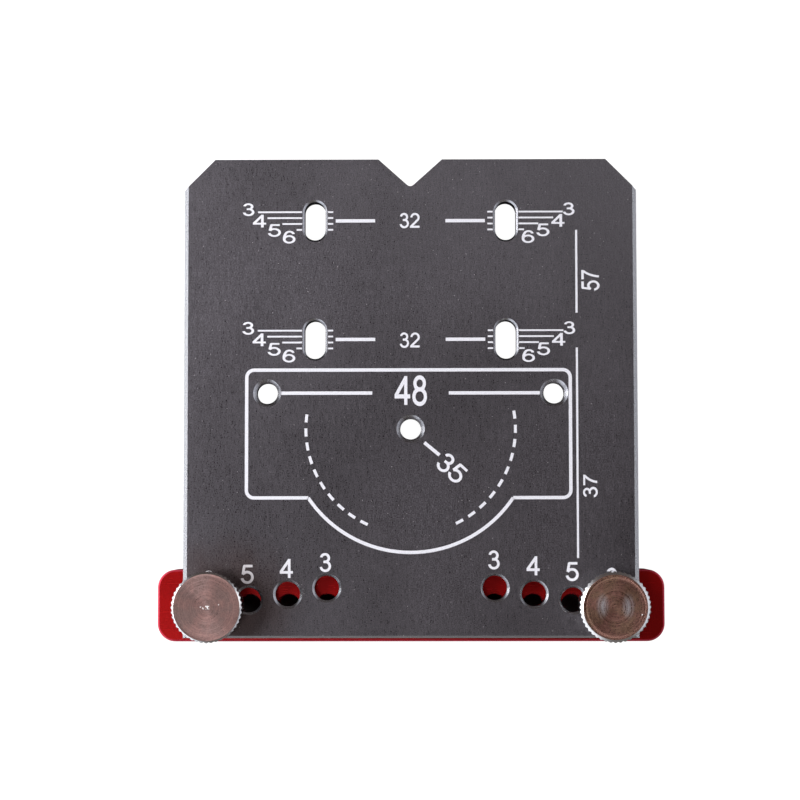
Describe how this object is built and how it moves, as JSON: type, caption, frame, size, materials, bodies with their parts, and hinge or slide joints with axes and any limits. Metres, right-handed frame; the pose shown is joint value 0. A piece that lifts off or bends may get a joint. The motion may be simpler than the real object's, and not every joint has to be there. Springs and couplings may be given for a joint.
{
  "type": "hinge drilling jig",
  "caption": "Flat marked metal template for drilling cup hinge and mounting plate holes, with an adjustable fence bar held by knurled thumb screws.",
  "frame": {"origin": "axis of the cup centre hole, on the underside of the template plate", "axes": "+X along the fence bar, +Y from the fence to the notched edge, +Z out of the marked face along the cup centre hole"},
  "size_m": [0.085, 0.0809, 0.0166],
  "materials": {
    "grey_plate": "brushed, anodised dark grey, with engraved white marks",
    "red_fence": "satin red anodised",
    "screw_steel": "turned and knurled, bright",
    "white_marks": "matt white engraving fill"
  },
  "bodies": {
    "jig": {"template_plate": "grey_plate", "fence_bar": "red_fence"},
    "left_screw": {"thumb_screw_left": "screw_steel"},
    "right_screw": {"thumb_screw_right": "screw_steel"}
  },
  "joints": [
    {"name": "left_screw_turn", "type": "hinge", "parent": "jig", "child": "left_screw", "pos_m": [-0.0335, -0.0295, 0.003], "axis": [0, 0, 1], "continuous": true},
    {"name": "right_screw_turn", "type": "hinge", "parent": "jig", "child": "right_screw", "pos_m": [0.0335, -0.0295, 0.003], "axis": [0, 0, 1], "continuous": true}
  ]
}
